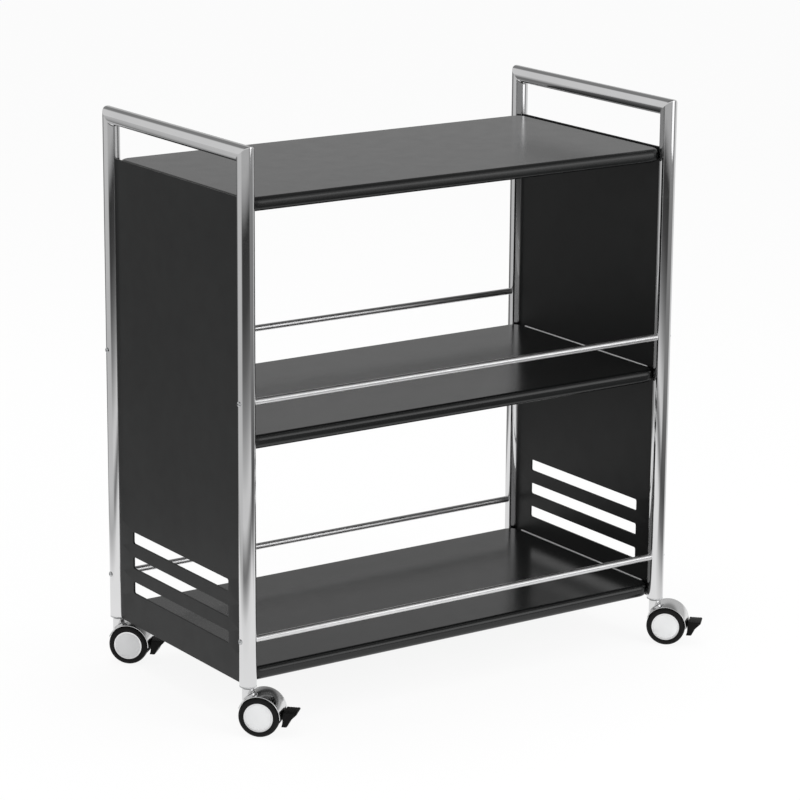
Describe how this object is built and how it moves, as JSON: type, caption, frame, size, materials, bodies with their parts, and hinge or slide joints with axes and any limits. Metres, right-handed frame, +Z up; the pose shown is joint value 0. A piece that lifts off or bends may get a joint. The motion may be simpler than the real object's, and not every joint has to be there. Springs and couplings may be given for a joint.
{
  "type": "hostess trolley",
  "caption": "Open serving trolley: chromed tube hoops with black slotted side panels, black boards, guard rails and braked twin-wheel castors.",
  "frame": {"origin": "on the floor, midway between the four posts", "axes": "+X along the boards towards the right-hand hoop, +Y from front to rear across the trolley, +Z up"},
  "size_m": [0.825, 0.46, 0.85],
  "materials": {
    "chromed_tube": "polished chrome",
    "chromed_rail": "polished chrome",
    "castor_chrome": "polished chrome",
    "black_panel": "semi-gloss black powder coat",
    "black_board": "semi-gloss black lacquered board",
    "screw_steel": "bright zinc plated",
    "stud_steel": "plain",
    "cam_zinc": "die-cast zinc",
    "insert_plastic": "moulded black nylon",
    "stem_steel": "bright zinc plated",
    "axle_steel": "ground",
    "black_tyre": "smooth soft tread",
    "hub_plastic": "silver-grey disc with a bright rim",
    "pedal_plastic": "satin black"
  },
  "bodies": {
    "frame": {"left_front_post": "chromed_tube", "left_rear_post": "chromed_tube", "left_top_bar": "chromed_tube", "right_front_post": "chromed_tube", "right_rear_post": "chromed_tube", "right_top_bar": "chromed_tube", "left_side_panel": "black_panel", "right_side_panel": "black_panel", "top_shelf": "black_board", "middle_shelf": "black_board", "lower_shelf": "black_board", "shelf_studs": "stud_steel", "cam_locks": "cam_zinc", "middle_front_rail": "chromed_rail", "middle_rear_rail": "chromed_rail", "lower_front_rail": "chromed_rail", "lower_rear_rail": "chromed_rail", "rail_screws": "screw_steel", "left_front_tube_insert": "insert_plastic", "left_front_castor_stem": "stem_steel", "left_rear_tube_insert": "insert_plastic", "left_rear_castor_stem": "stem_steel", "right_front_tube_insert": "insert_plastic", "right_front_castor_stem": "stem_steel", "right_rear_tube_insert": "insert_plastic", "right_rear_castor_stem": "stem_steel"},
    "left_front_castor": {"left_front_castor_housing": "castor_chrome", "left_front_castor_axle": "axle_steel", "left_front_brake_pin": "axle_steel"},
    "left_front_wheel_1": {"left_front_tyre_1": "black_tyre", "left_front_hub_1": "hub_plastic"},
    "left_front_wheel_2": {"left_front_tyre_2": "black_tyre", "left_front_hub_2": "hub_plastic"},
    "left_front_pedal": {"left_front_brake_pedal": "pedal_plastic"},
    "left_rear_castor": {"left_rear_castor_housing": "castor_chrome", "left_rear_castor_axle": "axle_steel", "left_rear_brake_pin": "axle_steel"},
    "left_rear_wheel_1": {"left_rear_tyre_1": "black_tyre", "left_rear_hub_1": "hub_plastic"},
    "left_rear_wheel_2": {"left_rear_tyre_2": "black_tyre", "left_rear_hub_2": "hub_plastic"},
    "left_rear_pedal": {"left_rear_brake_pedal": "pedal_plastic"},
    "right_front_castor": {"right_front_castor_housing": "castor_chrome", "right_front_castor_axle": "axle_steel", "right_front_brake_pin": "axle_steel"},
    "right_front_wheel_1": {"right_front_tyre_1": "black_tyre", "right_front_hub_1": "hub_plastic"},
    "right_front_wheel_2": {"right_front_tyre_2": "black_tyre", "right_front_hub_2": "hub_plastic"},
    "right_front_pedal": {"right_front_brake_pedal": "pedal_plastic"},
    "right_rear_castor": {"right_rear_castor_housing": "castor_chrome", "right_rear_castor_axle": "axle_steel", "right_rear_brake_pin": "axle_steel"},
    "right_rear_wheel_1": {"right_rear_tyre_1": "black_tyre", "right_rear_hub_1": "hub_plastic"},
    "right_rear_wheel_2": {"right_rear_tyre_2": "black_tyre", "right_rear_hub_2": "hub_plastic"},
    "right_rear_pedal": {"right_rear_brake_pedal": "pedal_plastic"}
  },
  "joints": [
    {"name": "left_front_swivel", "type": "hinge", "parent": "frame", "child": "left_front_castor", "pos_m": [-0.37, -0.1875, 0.055], "axis": [0, 0, 1], "continuous": true},
    {"name": "left_front_wheel_1_spin", "type": "hinge", "parent": "left_front_castor", "child": "left_front_wheel_1", "pos_m": [-0.36664, -0.21243, 0.03], "axis": [0.7071, 0.7071, 0], "continuous": true},
    {"name": "left_front_wheel_2_spin", "type": "hinge", "parent": "left_front_castor", "child": "left_front_wheel_2", "pos_m": [-0.34508, -0.19086, 0.03], "axis": [0.7071, 0.7071, 0], "continuous": true},
    {"name": "left_front_brake_press", "type": "hinge", "parent": "left_front_castor", "child": "left_front_pedal", "pos_m": [-0.33889, -0.21861, 0.04], "axis": [0.7071, 0.7071, 0], "range_deg": [0, 12]},
    {"name": "left_rear_swivel", "type": "hinge", "parent": "frame", "child": "left_rear_castor", "pos_m": [-0.37, 0.1875, 0.055], "axis": [0, 0, 1], "continuous": true},
    {"name": "left_rear_wheel_1_spin", "type": "hinge", "parent": "left_rear_castor", "child": "left_rear_wheel_1", "pos_m": [-0.36664, 0.16257, 0.03], "axis": [0.7071, 0.7071, 0], "continuous": true},
    {"name": "left_rear_wheel_2_spin", "type": "hinge", "parent": "left_rear_castor", "child": "left_rear_wheel_2", "pos_m": [-0.34508, 0.18414, 0.03], "axis": [0.7071, 0.7071, 0], "continuous": true},
    {"name": "left_rear_brake_press", "type": "hinge", "parent": "left_rear_castor", "child": "left_rear_pedal", "pos_m": [-0.33889, 0.15639, 0.04], "axis": [0.7071, 0.7071, 0], "range_deg": [0, 12]},
    {"name": "right_front_swivel", "type": "hinge", "parent": "frame", "child": "right_front_castor", "pos_m": [0.37, -0.1875, 0.055], "axis": [0, 0, 1], "continuous": true},
    {"name": "right_front_wheel_1_spin", "type": "hinge", "parent": "right_front_castor", "child": "right_front_wheel_1", "pos_m": [0.37336, -0.21243, 0.03], "axis": [0.7071, 0.7071, 0], "continuous": true},
    {"name": "right_front_wheel_2_spin", "type": "hinge", "parent": "right_front_castor", "child": "right_front_wheel_2", "pos_m": [0.39493, -0.19086, 0.03], "axis": [0.7071, 0.7071, 0], "continuous": true},
    {"name": "right_front_brake_press", "type": "hinge", "parent": "right_front_castor", "child": "right_front_pedal", "pos_m": [0.40111, -0.21861, 0.04], "axis": [0.7071, 0.7071, 0], "range_deg": [0, 12]},
    {"name": "right_rear_swivel", "type": "hinge", "parent": "frame", "child": "right_rear_castor", "pos_m": [0.37, 0.1875, 0.055], "axis": [0, 0, 1], "continuous": true},
    {"name": "right_rear_wheel_1_spin", "type": "hinge", "parent": "right_rear_castor", "child": "right_rear_wheel_1", "pos_m": [0.37336, 0.16257, 0.03], "axis": [0.7071, 0.7071, 0], "continuous": true},
    {"name": "right_rear_wheel_2_spin", "type": "hinge", "parent": "right_rear_castor", "child": "right_rear_wheel_2", "pos_m": [0.39493, 0.18414, 0.03], "axis": [0.7071, 0.7071, 0], "continuous": true},
    {"name": "right_rear_brake_press", "type": "hinge", "parent": "right_rear_castor", "child": "right_rear_pedal", "pos_m": [0.40111, 0.15639, 0.04], "axis": [0.7071, 0.7071, 0], "range_deg": [0, 12]}
  ]
}
